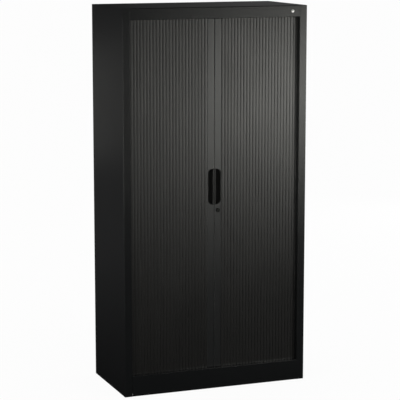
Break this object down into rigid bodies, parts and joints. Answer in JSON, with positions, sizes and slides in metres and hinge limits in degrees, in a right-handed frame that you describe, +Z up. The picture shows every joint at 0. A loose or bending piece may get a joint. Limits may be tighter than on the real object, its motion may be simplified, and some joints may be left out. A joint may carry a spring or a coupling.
{
  "type": "tambour door cabinet",
  "caption": "Tall steel storage cabinet with two ribbed tambour doors that slide apart into the sides, finger pulls, a hook lock and shelves.",
  "frame": {"origin": "on the floor under the middle of the cabinet's plan", "axes": "+X to the right as seen from the front, -Y out of the front, +Z up"},
  "size_m": [1, 0.5025, 1.98],
  "materials": {
    "side_panel_left_finish": "near-black semi-gloss powder coat",
    "liner_left_finish": "near-black satin powder coat",
    "track_top_left_finish": "black sliding plastic",
    "track_bottom_left_finish": "black sliding plastic",
    "door_stop_left_finish": "black moulded plastic",
    "base_channel_left_finish": "near-black satin powder coat",
    "post_left_finish": "dark grey semi-gloss powder coat",
    "finger_pull_left_finish": "black moulded plastic",
    "curtain_left_finish": "dark grey extruded slats, satin",
    "tail_bar_left_finish": "dark grey extruded slat, satin",
    "shoe_top_left_finish": "black moulded plastic",
    "shoe_bottom_left_finish": "black moulded plastic",
    "side_panel_right_finish": "near-black semi-gloss powder coat",
    "liner_right_finish": "near-black satin powder coat",
    "track_top_right_finish": "black sliding plastic",
    "track_bottom_right_finish": "black sliding plastic",
    "door_stop_right_finish": "black moulded plastic",
    "base_channel_right_finish": "near-black satin powder coat",
    "post_right_finish": "dark grey semi-gloss powder coat",
    "finger_pull_right_finish": "black moulded plastic",
    "curtain_right_finish": "dark grey extruded slats, satin",
    "tail_bar_right_finish": "dark grey extruded slat, satin",
    "shoe_top_right_finish": "black moulded plastic",
    "shoe_bottom_right_finish": "black moulded plastic",
    "header_finish": "near-black semi-gloss powder coat",
    "bottom_rail_finish": "near-black semi-gloss powder coat",
    "top_panel_finish": "near-black semi-gloss powder coat",
    "back_panel_finish": "near-black semi-gloss powder coat",
    "ceiling_tray_finish": "near-black satin powder coat",
    "floor_tray_finish": "near-black satin powder coat",
    "badge_finish": "bright plain metal disc",
    "shelf_1_finish": "near-black satin powder coat",
    "shelf_clip_1_left_front_finish": "zinc plated",
    "shelf_clip_1_left_back_finish": "zinc plated",
    "shelf_clip_1_right_front_finish": "zinc plated",
    "shelf_clip_1_right_back_finish": "zinc plated",
    "shelf_2_finish": "near-black satin powder coat",
    "shelf_clip_2_left_front_finish": "zinc plated",
    "shelf_clip_2_left_back_finish": "zinc plated",
    "shelf_clip_2_right_front_finish": "zinc plated",
    "shelf_clip_2_right_back_finish": "zinc plated",
    "shelf_3_finish": "near-black satin powder coat",
    "shelf_clip_3_left_front_finish": "zinc plated",
    "shelf_clip_3_left_back_finish": "zinc plated",
    "shelf_clip_3_right_front_finish": "zinc plated",
    "shelf_clip_3_right_back_finish": "zinc plated",
    "shelf_4_finish": "near-black satin powder coat",
    "shelf_clip_4_left_front_finish": "zinc plated",
    "shelf_clip_4_left_back_finish": "zinc plated",
    "shelf_clip_4_right_front_finish": "zinc plated",
    "shelf_clip_4_right_back_finish": "zinc plated",
    "foot_front_left_finish": "zinc plated",
    "foot_back_left_finish": "zinc plated",
    "foot_front_right_finish": "zinc plated",
    "foot_back_right_finish": "zinc plated",
    "lock_housing_finish": "dark nickel",
    "lock_plug_finish": "zinc plated",
    "lock_cam_finish": "zinc plated",
    "lock_nut_finish": "zinc plated",
    "striker_plate_finish": "zinc plated"
  },
  "bodies": {
    "carcass": {"side_panel_left": "side_panel_left_finish", "liner_left": "liner_left_finish", "track_top_left": "track_top_left_finish", "track_bottom_left": "track_bottom_left_finish", "door_stop_left": "door_stop_left_finish", "base_channel_left": "base_channel_left_finish", "side_panel_right": "side_panel_right_finish", "liner_right": "liner_right_finish", "track_top_right": "track_top_right_finish", "track_bottom_right": "track_bottom_right_finish", "door_stop_right": "door_stop_right_finish", "base_channel_right": "base_channel_right_finish", "header": "header_finish", "bottom_rail": "bottom_rail_finish", "top_panel": "top_panel_finish", "back_panel": "back_panel_finish", "ceiling_tray": "ceiling_tray_finish", "floor_tray": "floor_tray_finish", "badge": "badge_finish", "shelf_1": "shelf_1_finish", "shelf_clip_1_left_front": "shelf_clip_1_left_front_finish", "shelf_clip_1_left_back": "shelf_clip_1_left_back_finish", "shelf_clip_1_right_front": "shelf_clip_1_right_front_finish", "shelf_clip_1_right_back": "shelf_clip_1_right_back_finish", "shelf_2": "shelf_2_finish", "shelf_clip_2_left_front": "shelf_clip_2_left_front_finish", "shelf_clip_2_left_back": "shelf_clip_2_left_back_finish", "shelf_clip_2_right_front": "shelf_clip_2_right_front_finish", "shelf_clip_2_right_back": "shelf_clip_2_right_back_finish", "shelf_3": "shelf_3_finish", "shelf_clip_3_left_front": "shelf_clip_3_left_front_finish", "shelf_clip_3_left_back": "shelf_clip_3_left_back_finish", "shelf_clip_3_right_front": "shelf_clip_3_right_front_finish", "shelf_clip_3_right_back": "shelf_clip_3_right_back_finish", "shelf_4": "shelf_4_finish", "shelf_clip_4_left_front": "shelf_clip_4_left_front_finish", "shelf_clip_4_left_back": "shelf_clip_4_left_back_finish", "shelf_clip_4_right_front": "shelf_clip_4_right_front_finish", "shelf_clip_4_right_back": "shelf_clip_4_right_back_finish"},
    "left_door": {"post_left": "post_left_finish", "finger_pull_left": "finger_pull_left_finish", "curtain_left": "curtain_left_finish", "shoe_top_left": "shoe_top_left_finish", "shoe_bottom_left": "shoe_bottom_left_finish", "striker_plate": "striker_plate_finish"},
    "right_door": {"post_right": "post_right_finish", "finger_pull_right": "finger_pull_right_finish", "curtain_right": "curtain_right_finish", "shoe_top_right": "shoe_top_right_finish", "shoe_bottom_right": "shoe_bottom_right_finish", "lock_housing": "lock_housing_finish"},
    "left_tail": {"tail_bar_left": "tail_bar_left_finish"},
    "right_tail": {"tail_bar_right": "tail_bar_right_finish"},
    "lock": {"lock_plug": "lock_plug_finish", "lock_cam": "lock_cam_finish", "lock_nut": "lock_nut_finish"},
    "front_left_foot": {"foot_front_left": "foot_front_left_finish"},
    "back_left_foot": {"foot_back_left": "foot_back_left_finish"},
    "front_right_foot": {"foot_front_right": "foot_front_right_finish"},
    "back_right_foot": {"foot_back_right": "foot_back_right_finish"}
  },
  "joints": [
    {"name": "left_door_slide", "type": "slide", "parent": "carcass", "child": "left_door", "axis": [-1, 0, 0], "range_m": [0, 0.391], "deforming": ["curtain_left"]},
    {"name": "left_tail_slide", "type": "slide", "parent": "carcass", "child": "left_tail", "axis": [0, 1, 0], "range_m": [0, 0.391]},
    {"name": "right_door_slide", "type": "slide", "parent": "carcass", "child": "right_door", "axis": [1, 0, 0], "range_m": [0, 0.391], "deforming": ["curtain_right"]},
    {"name": "right_tail_slide", "type": "slide", "parent": "carcass", "child": "right_tail", "axis": [0, 1, 0], "range_m": [0, 0.391]},
    {"name": "lock_turn", "type": "hinge", "parent": "right_door", "child": "lock", "pos_m": [0.01935, -0.221, 0.937], "axis": [0, 1, 0], "range_deg": [0, 90]},
    {"name": "front_left_foot_slide", "type": "slide", "parent": "carcass", "child": "front_left_foot", "axis": [0, 0, -1], "range_m": [0, 0.015]},
    {"name": "back_left_foot_slide", "type": "slide", "parent": "carcass", "child": "back_left_foot", "axis": [0, 0, -1], "range_m": [0, 0.015]},
    {"name": "front_right_foot_slide", "type": "slide", "parent": "carcass", "child": "front_right_foot", "axis": [0, 0, -1], "range_m": [0, 0.015]},
    {"name": "back_right_foot_slide", "type": "slide", "parent": "carcass", "child": "back_right_foot", "axis": [0, 0, -1], "range_m": [0, 0.015]}
  ],
  "couplings": [
    {"joint": "left_tail_slide", "follows": "left_door_slide", "ratio": 1},
    {"joint": "right_tail_slide", "follows": "right_door_slide", "ratio": 1}
  ]
}
